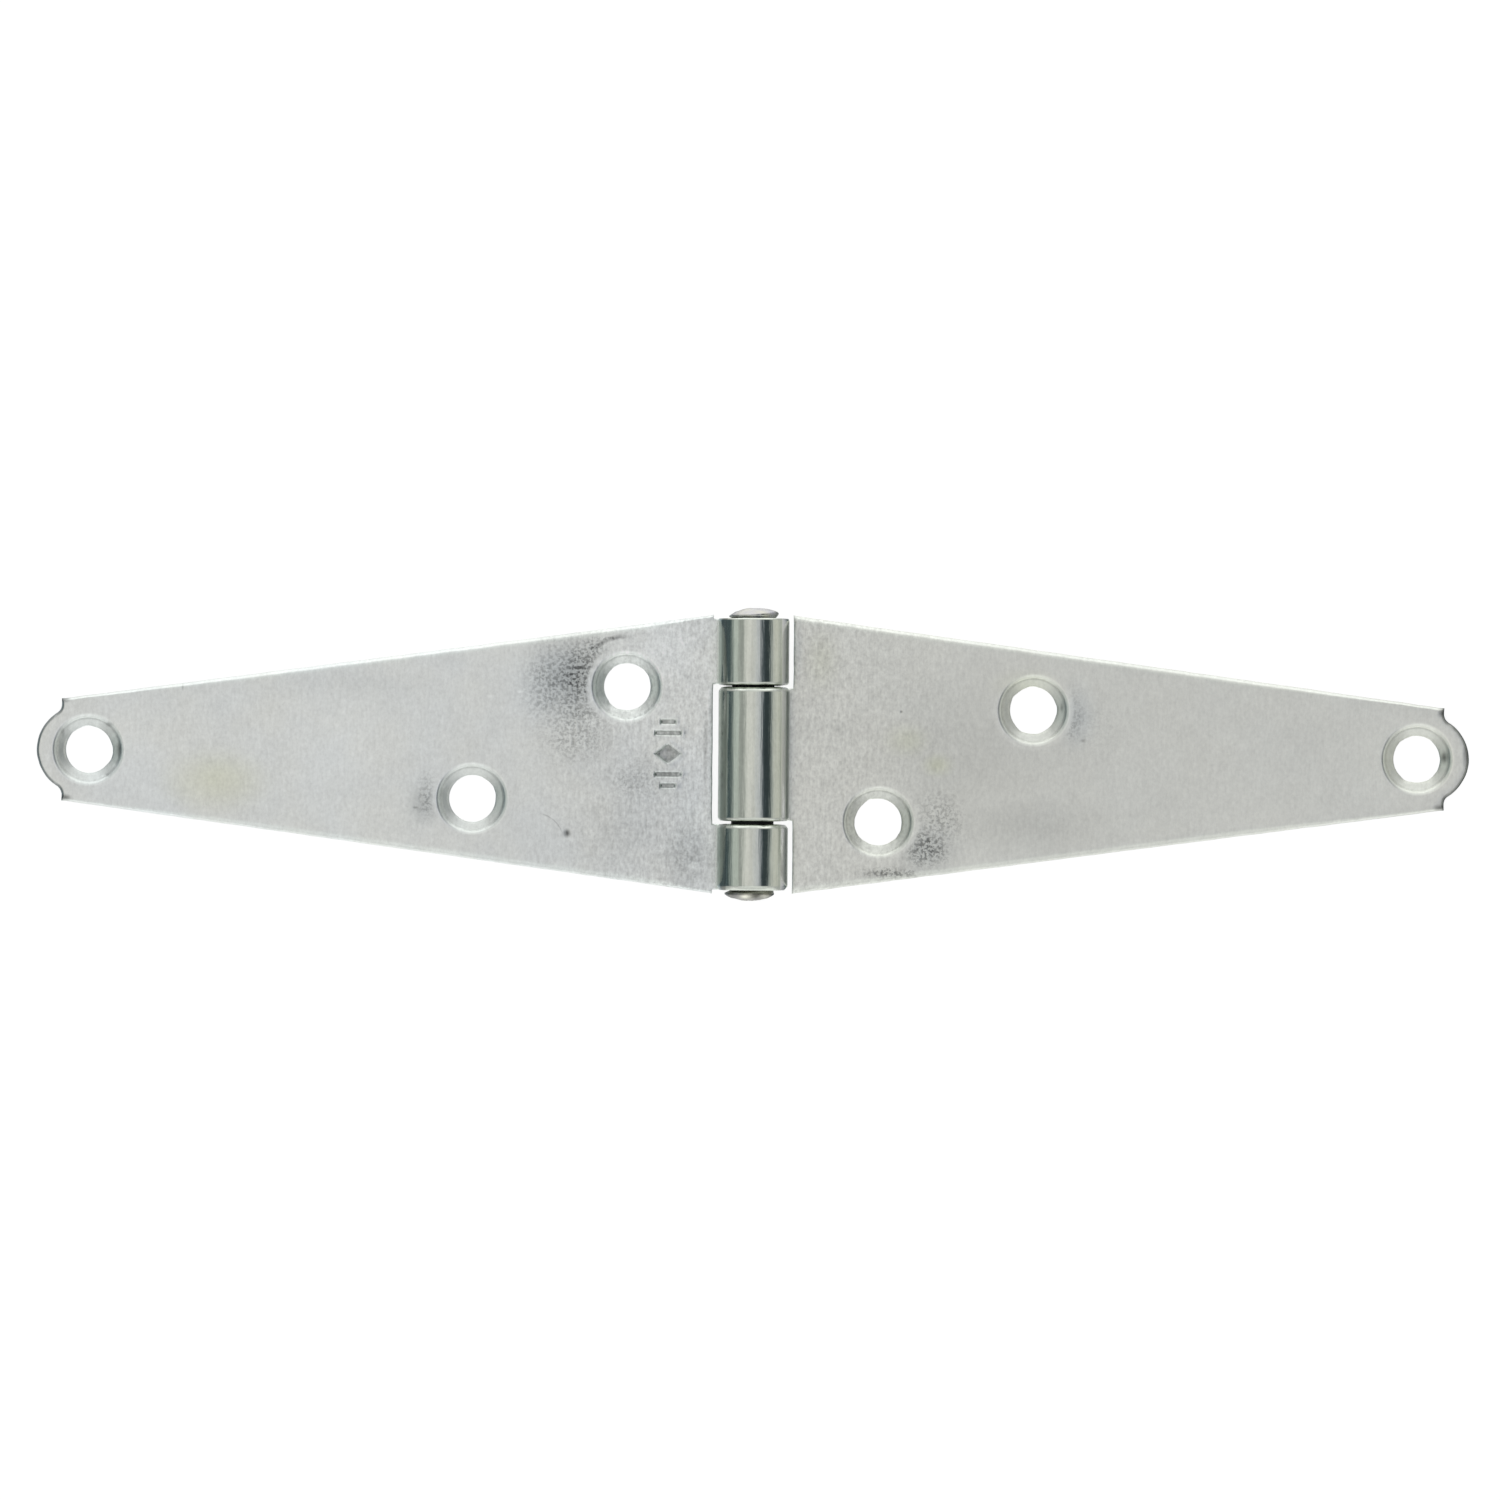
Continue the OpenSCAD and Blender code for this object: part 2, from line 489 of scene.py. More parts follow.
def wear(points, seed):
    """Adds the unevenness of pressed sheet: slow waves in front, ripples round the knuckles."""
    u, y, w = points.T
    flat = smoothstep(0.5, 6, u)
    wave = 0.022 * value_noise(points[:, :2], 13.0, seed)
    wave = wave + 0.010 * value_noise(points[:, :2], 5.0, seed + 3)
    front = w / SHEET * flat * wave
    ripple = 0.010 * (1 + value_noise(np.stack([u, y * 0.35], 1), 1.6, seed + 5))
    ripple += 0.006 * (1 + value_noise(np.stack([u, y * 0.5], 1), 0.8, seed + 6))
    outside = (1 - w / SHEET) * (1 - smoothstep(-3, 0, u)) * ripple
    return np.column_stack([u, y, w + front + outside])


# The outside of the middle knuckle sits slightly off the pin's axis, towards its own leaf
ROLL_ASIDE = {"door": 0.12, "frame": 0.0}


def rolled(points, aside):
    """Sheet points to the row frame, for a leaf that points along +X.

    The outside of the roll is moved aside, towards the leaf.
    """
    u, y, w = points.T
    phi = np.maximum(-u, 0) / KNUCKLE_R
    radius = KNUCKLE_R - w - aside * np.sin(phi) * (1 - w / SHEET)
    x = np.where(u > 0, u, -radius * np.sin(phi))
    z = np.where(u > 0, w, KNUCKLE_R - radius * np.cos(phi))
    return np.column_stack([x, y, z])


def make_object(name, points, faces):
    """A smooth-shaded mesh object from millimetres."""
    mesh = bpy.data.meshes.new(name)
    mesh.from_pydata((points * MM).tolist(), [], [tuple(int(i) for i in f) for f in faces])
    mesh.validate()
    mesh.polygons.foreach_set("use_smooth", [True] * len(mesh.polygons))
    mesh.update()
    piece = bpy.data.objects.new(name, mesh)
    bpy.context.scene.collection.objects.link(piece)
    return piece


def make_leaf(name, leaf, stretches, stamped, seed):
    shell = build_sheet(leaf, stretches, stamped, seed)
    worn = wear(np.concatenate(shell.points), seed)
    points = rolled(worn, ROLL_ASIDE[leaf])
    if leaf == "frame":
        points[:, :2] *= -1
    return make_object(name, points, shell.faces)


# ------------------------------------------------ the pin
PIN_SIDES = 96
# The lower head sits this far to the left of the axis
HEAD_ASIDE = 0.28
# How much the upper head is thicker on the right, as a share of its height there
HEAD_LEAN = 0.6


def pin_profile():
    """(radius, distance past the knuckle's end) of one head, from under its rim to its crown."""
    height = HEAD_TOP - OUTER_END
    shape = [
        (0.86, -0.10), (0.88, 0.03), (0.94, 0.14), (0.985, 0.24), (1.0, 0.31), (0.985, 0.40),
        (0.93, 0.51), (0.85, 0.62), (0.74, 0.72), (0.61, 0.81), (0.46, 0.89), (0.30, 0.945),
        (0.14, 0.975),
    ]
    return [(HEAD_R * r, height * h) for r, h in shape]


def make_pin(name, seed):
    """Rows of points round the pin's axis, with dents and a torn rim on the two heads."""
    head = pin_profile()
    height = HEAD_TOP - OUTER_END
    rows = [(PIN_R, OUTER_END - 0.6)] + [(r, OUTER_END + h) for r, h in head]
    rows = [(r, -y) for r, y in reversed(rows)] + rows
    a = np.arange(PIN_SIDES) * 2 * math.pi / PIN_SIDES
    points, faces = [], []
    for r, y in rows:
        past = max(0.0, abs(y) - OUTER_END)
        spots = np.stack([a * 4 / math.pi + 10 * np.sign(y), np.full(len(a), r * 1.3)], 1)
        dent = past * 0.10 * value_noise(spots, 1.0, seed) - past * 0.02
        ragged = 0.035 * past * value_noise(np.stack([a * 12 / math.pi, a * 0], 1), 1.0, seed + 2)
        radius = r * (1 - np.abs(ragged))
        aside = -HEAD_ASIDE * min(1.0, past * 4) if y < 0 else 0.0
        lean = HEAD_LEAN * past * (1 - past / height) * r / HEAD_R if y > 0 else 0.0
        points.append(np.column_stack([
            aside + radius * np.cos(a),
            y + lean * np.cos(a) - np.sign(y) * np.abs(dent),
            KNUCKLE_R + radius * np.sin(a),
        ]))
    points = np.concatenate(points)
    n = PIN_SIDES
    for row in range(len(rows) - 1):
        for k in range(n):
            m = (k + 1) % n
            faces.append((row * n + k, (row + 1) * n + k, (row + 1) * n + m, row * n + m))
    caps = np.array([
        points[:n].mean(0) + (0, -0.005, 0),
        points[-n:].mean(0) + (0, 0.005, 0),
    ])
    low, high = len(points), len(points) + 1
    last = (len(rows) - 1) * n
    for k in range(n):
        m = (k + 1) % n
        faces.append((low, k, m))
        faces.append((high, last + m, last + k))
    return make_object(name, np.concatenate([points, caps]), faces)


# Stretches of the pin; the frame leaf's are turned half a turn with it
MIDDLE_KNUCKLE = [(-MIDDLE_END, MIDDLE_END, (0.30, 0.06), (0.36, 0.16))]
END_KNUCKLES = [
    (-OUTER_END, -OUTER_START, (0.15, 0.0), (0.22, 0.16)),
    (OUTER_START, OUTER_END, (0.36, 0.06), (0.42, 0.0)),
]
door_plate = make_leaf("door_leaf_plate", "door", MIDDLE_KNUCKLE, False, 11)
frame_plate = make_leaf("frame_leaf_plate", "frame", END_KNUCKLES, True, 29)
pin = make_pin("peened_pin", 5)


# ------------------------------------------------ materials
class Net:
    """Short names for building a node tree; values and links are taken alike."""

    def __init__(self, tree):
        self.tree = tree

    def node(self, kind, inputs=(), **settings):
        made = self.tree.nodes.new(kind)
        for key, value in settings.items():
            setattr(made, key, value)
        for socket, value in zip(made.inputs, inputs):
            self.feed(socket, value)
        return made

    def feed(self, socket, value):
        if isinstance(value, bpy.types.NodeSocket):
            self.tree.links.new(value, socket)
        elif value is not None:
            socket.default_value = value

    def math(self, operation, *values):
        return self.node("ShaderNodeMath", values, operation=operation).outputs[0]

    def fold(self, operation, values):
        """The values joined by one operation, from the first to the last."""
        out, *rest = values
        for value in rest:
            out = self.math(operation, out, value)
        return out

    def total(self, *values):
        return self.fold("ADD", values)

    def times(self, *values):
        return self.fold("MULTIPLY", values)

    def stretch(self, vector, scale):
        return self.node("ShaderNodeVectorMath", (vector, scale), operation="MULTIPLY").outputs[0]

    def noise(self, vector, scale, detail=2.0, roughness=0.5):
        """Noise centred on zero, about -1 to 1, of the given number of waves per millimetre."""
        made = self.node("ShaderNodeTexNoise", noise_dimensions="3D")
        wanted = {"Vector": vector, "Scale": scale, "Detail": detail, "Roughness": roughness}
        for key, value in wanted.items():
            self.feed(made.inputs[key], value)
        return self.math("MULTIPLY_ADD", made.outputs[0], 4.0, -2.0)

    def remap(self, value, low, high, to_low=0.0, to_high=1.0):
        made = self.node("ShaderNodeMapRange", interpolation_type="SMOOTHSTEP")
        keys = ("Value", "From Min", "From Max", "To Min", "To Max")
        for key, v in zip(keys, (value, low, high, to_low, to_high)):
            self.feed(made.inputs[key], v)
        return made.outputs[0]

    def apart(self, a, b):
        """Distance between two values."""
        return self.math("ABSOLUTE", self.math("SUBTRACT", a, b))

    def far(self, x, y, centre):
        """Distance from a centre, in the plane of the leaves."""
        dx, dy = self.math("SUBTRACT", x, centre[0]), self.math("SUBTRACT", y, centre[1])
        return self.math("SQRT", self.total(self.times(dx, dx), self.times(dy, dy)))

    def blob(self, x, y, centre, size, soft=1.0):
        """1 at the centre of an ellipse, falling smoothly to 0 at its edge."""
        wide, high = self.math("DIVIDE", x, size[0]), self.math("DIVIDE", y, size[1])
        far = self.far(wide, high, (centre[0] / size[0], centre[1] / size[1]))
        return self.remap(far, 1 - soft, 1.0, 1.0, 0.0)

    def mix(self, factor, a, b):
        made = self.node("ShaderNodeMix", data_type="RGBA")
        for socket, value in ((made.inputs[0], factor), (made.inputs[6], a), (made.inputs[7], b)):
            self.feed(socket, value)
        return made.outputs[2]


def grey(value):
    return (value, value, value, 1.0)


# Colours of the zinc: on each leaf, what drift, stains and rolling turn it towards, and the cyan
# tint of a painted reflection on the west side of the rolls
FRAME_ZINC, DOOR_ZINC = (0.799, 0.841, 0.828, 1), (0.823, 0.849, 0.795, 1)
DRIFT_ZINC = (0.835, 0.852, 0.785, 1)
YELLOW_ZINC, BLUE_ZINC = (0.790, 0.827, 0.674, 1), (0.752, 0.817, 0.828, 1)
ROLLED_ZINC, WEST_REFLECTION_ZINC = (0.650, 0.690, 0.610, 1), (0.632, 0.696, 0.645, 1)
# Colours of the pin: both ends of the dented heads' range, the lower head, and the near-black
# shank, which is painted shade for the narrow gaps between the knuckles
HEAD_COOL, HEAD_WARM = (0.56, 0.56, 0.60, 1), (0.585, 0.58, 0.52, 1)
LOWER_WARM = (0.605, 0.605, 0.520, 1)
SHANK_SHADE = (0.075, 0.080, 0.080, 1)

# Marks on the faces, in row millimetres: centre, half-widths and strength
SPECKLED = [
    ((-18.4, 8.2), (4.0, 5.6), 1.15), ((-20.6, 7.2), (5.8, 7.0), 0.80),
    ((-19.0, 3.2), (6.0, 6.0), 0.76), ((18.6, -9.8), (3.6, 3.2), 1.1),
    ((19.8, -7.0), (4.0, 4.8), 0.6), ((14.6, -12.5), (5.0, 0.9), 1.0),
    ((-34.6, -4.6), (1.6, 4.0), 0.6), ((33.9, 4.4), (2.0, 4.4), 0.5),
    ((-12.5, -3.0), (4.5, 3.5), 0.40), ((-15.5, 12.2), (3.4, 0.35), 0.9),
    ((-17.0, 11.2), (1.9, 1.7), 1.10), ((36.0, 3.0), (6.0, 6.0), 0.12),
    ((-7.0, -10.0), (4.5, 5.0), 0.25),
]
# Darker patches: dull burnished strips beside the knuckles, and broad painted shade where the
# slightly tilted sheet mirrors a dark band
DULL_AND_SHADE = [
    ((-19.0, 8.0), (6.6, 7.0), 0.30), ((-5.0, 0.3), (0.34, 5.8), 0.30),
    ((-11.0, -3.0), (6.0, 6.0), 0.11), ((-13.5, -8.5), (9.0, 8.0), 0.12),
    ((-7.0, -11.0), (4.5, 5.5), 0.20), ((4.8, 10.8), (0.45, 3.8), 0.12),
    ((6.0, 10.5), (5.0, 6.0), 0.05), ((-35.0, -5.6), (2.4, 3.0), 0.20),
    ((34.2, 4.0), (2.4, 4.4), 0.12), ((18.5, -9.6), (6.0, 4.4), 0.14),
    ((24.0, 0.0), (17.0, 13.0), 0.11), ((28.0, -7.0), (14.0, 5.0), 0.13),
    ((-42.0, 7.2), (12.0, 2.0), 0.05), ((15.0, -12.6), (5.5, 0.7), 0.16),
    ((-17.5, 0.0), (8.0, 9.0), 0.07), ((-57.0, -3.2), (8.0, 5.0), 0.04),
]
# Lighter marks: a few bright specks, and painted highlights, broad lighter areas and bright facets
# in a tip countersink
SPECKS_AND_HIGHLIGHTS = [
    ((-17.2, 3.4), (0.9, 0.4), 0.12), ((-24.8, 6.5), (0.5, 0.3), 0.20),
    ((-27.9, 6.0), (0.6, 0.3), 0.13), ((-9.4, 11.0), (5.0, 4.0), 0.09),
    ((-4.6, 8.8), (1.2, 5.0), 0.08), ((-44.0, 0.0), (16.0, 8.0), 0.03),
    ((-6.4, -11.8), (1.1, 0.7), 0.16), ((-67.9, 1.6), (0.45, 0.45), 0.20),
    ((-67.8, -1.7), (0.45, 0.45), 0.25), ((-64.0, 0.0), (12.0, 8.0), 0.03),
    ((70.0, 0.0), (8.0, 7.0), 0.09),
]
YELLOWED = [
    ((-57.0, -3.2), (7.0, 4.4), 1.0), ((16.2, 1.6), (3.4, 2.4), 0.8),
    ((28.8, 7.6), (4.6, 2.2), 0.7), ((7.2, 10.0), (2.6, 4.5), 0.5), ((70.0, 0.0), (8.0, 5.0), 0.2),
    ((19.6, -1.0), (2.3, 1.7), 1.0),
]
BLUED = [
    ((-20.0, 7.5), (8.0, 7.0), 0.55), ((34.4, 4.4), (2.8, 5.0), 0.6),
    ((-35.2, -5.0), (3.6, 4.6), 0.6), ((-6.4, -8.0), (3.4, 8.0), 0.6),
    ((4.6, 11.0), (0.9, 4.6), 0.6), ((19.0, -10.0), (5.0, 4.0), 0.4),
]
# Dark spots: a scratch and a few small spots, and painted shade on countersink cones, at the
# shoulder corners and along the tips
DOTS_AND_SHADE = [
    ((-19.65, -8.5), (0.55, 0.65), 0.90), ((15.75, 4.65), (0.22, 0.22), 0.5),
    ((-35.8, -5.9), (0.42, 0.2), 0.4), ((35.1, 1.7), (0.5, 0.3), 0.35),
    ((-67.4, 0.0), (0.50, 1.3), 0.55), ((-68.4, 2.7), (0.70, 0.40), 0.40),
    ((-68.5, -2.7), (0.60, 0.40), 0.28), ((-73.3, 1.9), (0.30, 0.70), 0.30),
    ((73.50, 0.2), (0.55, 1.00), 0.75), ((32.8, 5.2), (0.25, 0.9), 0.40),
    ((75.75, 0.4), (0.45, 1.7), 0.35), ((-60.6, 6.7), (0.14, 0.55), 0.30),
    ((-73.1, 5.3), (0.80, 0.45), 0.65), ((-73.0, -5.1), (0.90, 0.50), 0.70),
    ((73.2, 5.0), (0.55, 0.80), 0.55), ((73.0, -5.15), (0.95, 0.50), 0.65),
    ((-62.3, 7.1), (0.60, 0.14), 0.50),
]
# Thin curved marks: centre and radius of the bend, half-width, the ellipse that it shows in
# (centre, half-widths and softness), and strength
ARCS = [
    ((-23.2, -9.6), 3.22, 0.11, ((-21.2, -7.3), (1.9, 1.9), 0.6), 0.23),
    ((-13.4, 7.1), 5.35, 0.38, ((-15.6, 12.1), (3.3, 1.7), 0.7), 0.42),
]
# Painted highlights on the lower head
GLINTS = [((-0.70, -15.02), (0.80, 0.34), 0.85), ((1.45, -15.02), (0.60, 0.30), 0.25)]
# Painted shade on the lower head
SHADES = [((-2.1, -15.1), (1.0, 0.9), 0.26), ((0.50, -15.1), (0.75, 0.9), 0.30)]
# Painted reflection bands along the rolled knuckles, a dark one and a bright one: place across the
# pin, half-width and strength
REFLECTION_BANDS = [(-3.08, 0.42, -0.44), (3.26, 0.34, 0.60)]

HOLE_CENTRES = [
    (m["pos_m"][0] / MM, m["pos_m"][1] / MM)
    for m in frame["record"]["mounts"] if m["kind"] == "bore"
]


def marks(net, x, y, listed, soft=1.0):
    """One mask for a list of marks."""
    return net.fold("MAXIMUM", [
        net.times(net.blob(x, y, centre, size, soft), strength)
        for centre, size, strength in listed
    ])


def start_material(name):
    material = bpy.data.materials.new(name)
    material.use_nodes = True
    net = Net(material.node_tree)
    shader = material.node_tree.nodes["Principled BSDF"]
    shader.inputs["Metallic"].default_value = 1.0
    coords = net.node("ShaderNodeTexCoord").outputs["Object"]
    place = net.stretch(coords, (1 / MM, 1 / MM, 1 / MM))
    return material, net, shader, place


def feed_shader(net, shader, tint, tone, rough, height):
    """Wires a metal: tint times tone as its colour, roughness, and a bump height in mm."""
    colour = net.node("ShaderNodeVectorMath", (tint,), operation="SCALE")
    net.feed(colour.inputs["Scale"], tone)
    net.feed(shader.inputs["Base Color"], colour.outputs[0])
    net.feed(shader.inputs["Roughness"], rough)
    bump = net.node("ShaderNodeBump")
    bump.inputs["Distance"].default_value = MM
    net.feed(bump.inputs["Height"], height)
    net.feed(shader.inputs["Normal"], bump.outputs[0])


def sheet_material():
    """Bright zinc on pressed sheet: satin and mottled flats, smooth and streaked rolls, with
    painted reflection bands, painted shade and painted highlights.
    """
    material, net, shader, place = start_material("zinc_sheet")
    x, y, z = net.node("ShaderNodeSeparateXYZ", (place,)).outputs
    away = net.math("ABSOLUTE", x)
    front = net.remap(z, 0.15, 0.45)
    roll = net.remap(away, KNUCKLE_R - 0.02, KNUCKLE_R + 0.10, 1.0, 0.0)
    flat = net.math("SUBTRACT", 1.0, roll)
    door = net.remap(x, 3.0, 5.0)
    # Strength of the grain: full beside the pin, less at the tips, the rolls and the door leaf
    near = net.times(
        net.remap(away, 6.0, 26.0, 1.0, 0.40),
        net.remap(roll, 0.0, 1.0, 1.0, 0.25),
        net.remap(door, 0.0, 1.0, 1.0, 0.78),
    )

    # Unevenness, from broad to fine
    broad = net.noise(place, 0.055, 2.0)
    mottle = net.noise(place, 0.42, 4.0, 0.6)
    fine = net.noise(net.stretch(place, (2.8, 2.0, 2.8)), 1.0, 2.0, 0.7)
    grain = net.noise(net.stretch(place, (2.6, 0.55, 2.6)), 1.0, 2.0, 0.6)
    streak = net.noise(net.stretch(place, (1.3, 0.07, 1.3)), 1.0, 3.0, 0.6)
    peel = net.noise(place, 2.7, 2.0, 0.6)

    # Where the marks show; the pressed ring round each countersink stays clean of them
    pressed = marks(net, x, y, [(centre, (4.5, 4.5), 1.0) for centre in HOLE_CENTRES], soft=0.1)
    marked = net.times(flat, front)
    open_face = net.times(marked, net.math("SUBTRACT", 1.0, pressed))
    patchy = net.remap(net.noise(place, 0.45, 3.0, 0.6), -0.8, 0.7, 0.60, 1.0)
    speckled = net.times(marks(net, x, y, SPECKLED), patchy, open_face)
    pits = net.times(net.remap(peel, -0.25, 0.35), speckled)
    back_wear = net.remap(net.noise(place, 0.11, 3.0, 0.6), 0.0, 1.0, 0.0, 0.14)
    rubbed = net.times(back_wear, net.math("SUBTRACT", 1.0, front))
    dull_and_shade = net.math("MAXIMUM", net.times(marks(net, x, y, DULL_AND_SHADE), open_face), rubbed)
    specks_and_highlights = net.times(marks(net, x, y, SPECKS_AND_HIGHLIGHTS), front)
    dots_and_shade = net.times(marks(net, x, y, DOTS_AND_SHADE), marked)
    # Painted shade along the edges of the tongue and of the hollows beside it
    to_tongue = net.far(away, y, (TONGUE_X, 0))
    tongue_edge_shade = net.times(
        net.remap(to_tongue, TONGUE_R - 0.46, TONGUE_R - 0.22),
        net.remap(away, SHOULDER_X, EAR_X),
    )
    to_ear = net.far(away, net.math("ABSOLUTE", y), (EAR_X, EAR_Y))
    ear_edge_shade = net.remap(to_ear, EAR_R + 0.22, EAR_R + 0.48, 1.0, 0.0)
    edge_shade = net.math("MAXIMUM", tongue_edge_shade, ear_edge_shade)
    arcs = net.fold("MAXIMUM", [
        net.times(
            net.remap(net.apart(net.far(x, y, centre), radius), 0.0, half, strength, 0.0),
            net.blob(x, y, *shown_in),
        )
        for centre, radius, half, shown_in, strength in ARCS
    ])
    # Painted reflection bands on the rolls: dark on the west side, bright on the east
    reflection_bands = [
        net.remap(net.apart(x, at), half * 0.5, half, strength, 0.0)
        for at, half, strength in REFLECTION_BANDS
    ]
    # Mouth of each countersink: painted shade in its crease, inside a painted highlight on its lip
    to_hole = net.fold("MINIMUM", [net.far(x, y, centre) for centre in HOLE_CENTRES])
    crease_shade = net.remap(net.apart(to_hole, SINK_R - 0.18), 0.02, 0.16, 1.0, 0.0)
    lip = net.remap(net.apart(to_hole, SINK_R + 0.16), 0.08, 0.32, 1.0, 0.0)
    # Painted shade on the sunk floor of the stamped mark
    sunk_shade = net.times(
        net.remap(z, SHEET - 0.16, SHEET - 0.06, 1.0, 0.0),
        net.blob(x, y, (-STAMP_U, -STAMP_Y), (2.6, 4.8), 0.1),
    )

    # Brightness and colour
    fine_grain, rough_grain = net.times(fine, near), net.times(grain, near)
    shown = [net.times(mask, front) for mask in (arcs, crease_shade, lip)]
    tone = net.total(1.0, specks_and_highlights, net.times(net.total(*reflection_bands), roll), *[
        net.times(value, weight) for value, weight in (
            (broad, 0.030), (mottle, 0.035), (fine_grain, 0.20), (rough_grain, 0.12),
            (dull_and_shade, -1.0), (pits, -0.57), (dots_and_shade, -0.9), (door, -0.075), (edge_shade, -0.46),
            (shown[0], -1.0), (shown[1], -0.15), (shown[2], 0.13),
            (net.times(streak, roll), 0.06), (sunk_shade, -0.40),
        )
    ])
    tint = net.mix(door, FRAME_ZINC, DOOR_ZINC)
    yellowed = net.times(marks(net, x, y, YELLOWED), front)
    blued = net.times(marks(net, x, y, BLUED), front)
    tint = net.mix(yellowed, tint, YELLOW_ZINC)
    tint = net.mix(blued, tint, BLUE_ZINC)
    drift = net.remap(net.noise(place, 0.12, 3.0), -0.9, 0.9)
    tint = net.mix(net.times(drift, 0.45), tint, DRIFT_ZINC)
    tint = net.mix(net.times(roll, 0.8), tint, ROLLED_ZINC)
    # Painted reflection: a cyan tint on the west side of the rolls, where a dark band is mirrored
    west_reflection = net.times(net.remap(x, -3.35, -2.95, 1.0, 0.0), roll)
    tint = net.mix(west_reflection, tint, WEST_REFLECTION_ZINC)

    # Roughness and bump, each on the flats and on the rolls
    rough_flat = net.total(0.34, net.times(mottle, 0.02), net.times(speckled, 0.05))
    rough_roll = net.total(0.13, net.times(streak, 0.03), net.times(fine, 0.015))
    rough = net.total(net.times(rough_flat, flat), net.times(rough_roll, roll))
    flat_height = net.total(*[
        net.times(value, weight) for value, weight in (
            (fine_grain, 0.0030), (rough_grain, 0.0035),
            (net.times(peel, speckled), -0.030), (dots_and_shade, -0.05),
        )
    ])
    roll_height = net.total(net.times(streak, 0.010), net.times(fine, 0.0012))
    height = net.total(net.times(flat_height, flat), net.times(roll_height, roll))
    feed_shader(net, shader, tint, tone, rough, height)
    return material


def pin_material():
    """Dull zinc on the hammered heads, with painted highlights and painted shade on the lower head,
    and a near-black rough shank between the knuckles as painted shade in the gaps.
    """
    material, net, shader, place = start_material("zinc_pin")
    x, y, z = net.node("ShaderNodeSeparateXYZ", (place,)).outputs
    lower = net.remap(y, -1.0, 1.0, 1.0, 0.0)
    upward = net.remap(z, KNUCKLE_R, KNUCKLE_R + 0.3)
    glints = net.times(marks(net, x, y, GLINTS), upward)
    head = net.remap(net.math("ABSOLUTE", y), OUTER_END - 0.1, OUTER_END + 0.05)
    dents = net.noise(place, 0.7, 3.0, 0.6)
    fine = net.noise(place, 3.0, 2.0, 0.6)
    # The lower head is painted darker, as shade, beside the painted highlights and painted shade
    # listed above
    tone = net.total(
        1.0, net.times(dents, 0.12), net.times(fine, 0.06), net.times(lower, -0.42), glints,
        net.times(marks(net, x, y, SHADES), -1.0),
    )
    tint = net.mix(net.remap(dents, -0.8, 0.8), HEAD_COOL, HEAD_WARM)
    warm = net.times(lower, net.remap(x, -1.9, -0.7))
    tint = net.mix(warm, tint, LOWER_WARM)
    # The near-black shank is painted shade for the narrow gaps between the knuckles
    tint = net.mix(head, SHANK_SHADE, tint)
    rough_head = net.math("MULTIPLY_ADD", dents, 0.05, 0.28)
    rough = net.remap(head, 0.0, 1.0, 0.6, rough_head)
    height = net.total(net.times(dents, 0.03), net.times(fine, 0.003))
    feed_shader(net, shader, tint, tone, rough, height)
    return material


sheet_zinc = sheet_material()
pin_zinc = pin_material()
for piece, material in ((door_plate, sheet_zinc), (frame_plate, sheet_zinc), (pin, pin_zinc)):
    piece.data.materials.append(material)


# ------------------------------------------------ stage, light and camera
def add_floor():
    """A pale table just under the back faces, bright enough to stay even around the hinge."""
    half, z = 3.0, -0.00002
    mesh = bpy.data.meshes.new("floor")
    corners = [(-half, -half, z), (half, -half, z), (half, half, z), (-half, half, z)]
    mesh.from_pydata(corners, [], [(0, 1, 2, 3)])
    floor = bpy.data.objects.new("floor", mesh)
    bpy.context.scene.collection.objects.link(floor)
    material = bpy.data.materials.new("floor_white")
    material.use_nodes = True
    shader = material.node_tree.nodes["Principled BSDF"]
    shader.inputs["Base Color"].default_value = grey(0.36)
    shader.inputs["Roughness"].default_value = 1.0
    shader.inputs["Specular IOR Level"].default_value = 0.0
    shader.inputs["Emission Color"].default_value = grey(1.0)
    shader.inputs["Emission Strength"].default_value = 0.85
    mesh.materials.append(material)
    floor.visible_glossy = False


# What the metal mirrors, once round from straight down over the west, the zenith and the east:
# (angle from the zenith, radiance). The lower half stands for the table, which the metal doesn't
# mirror itself.
SKY_ARCH = [
    (-180, 0.70), (-154, 0.52), (-136, 0.38), (-124, 0.17), (-100, 0.18), (-90, 0.09), (-82, 0.11),
    (-72, 0.34), (-64, 0.60), (-52, 0.60), (-43, 0.40), (-35, 0.38), (-28, 0.64), (-17, 0.82),
    (-9, 0.79), (-3, 0.66), (4, 0.72), (18, 0.64), (24, 0.38), (30, 0.11), (36, 0.055), (50, 0.055),
    (58, 0.30), (65, 0.58), (82, 0.66), (92, 0.58), (104, 0.50), (122, 0.42), (134, 0.16),
    (162, 0.15), (180, 0.70),
]
# Off to the sides of that arch: below and above the horizon
SKY_SIDES = (0.50, 0.57)
# Towards either end of the pin: below the horizon, low above it, and high up
SOUTH_END = (1.05, 0.74, 0.86)
NORTH_END = (1.20, 1.45, 0.80)
# Tint of the darkest parts of the arch
DARK_TINT = (0.76, 1.0, 1.06)
# Red and blue against green round the arch: (angle, red, blue)
ARCH_TINTS = [
    (-180, 1.00, 1.00), (-150, 0.88, 1.07), (-90, 0.88, 1.06), (-74, 0.93, 0.97), (-52, 0.95, 0.96),
    (-32, 1.00, 0.98), (-12, 1.04, 0.99), (6, 1.02, 1.02), (18, 1.00, 1.09), (28, 0.99, 1.12),
    (46, 0.95, 1.06), (58, 0.98, 1.00), (70, 1.01, 0.945), (84, 1.02, 0.93), (100, 0.99, 0.96),
    (125, 0.97, 0.99), (180, 1.00, 1.00),
]


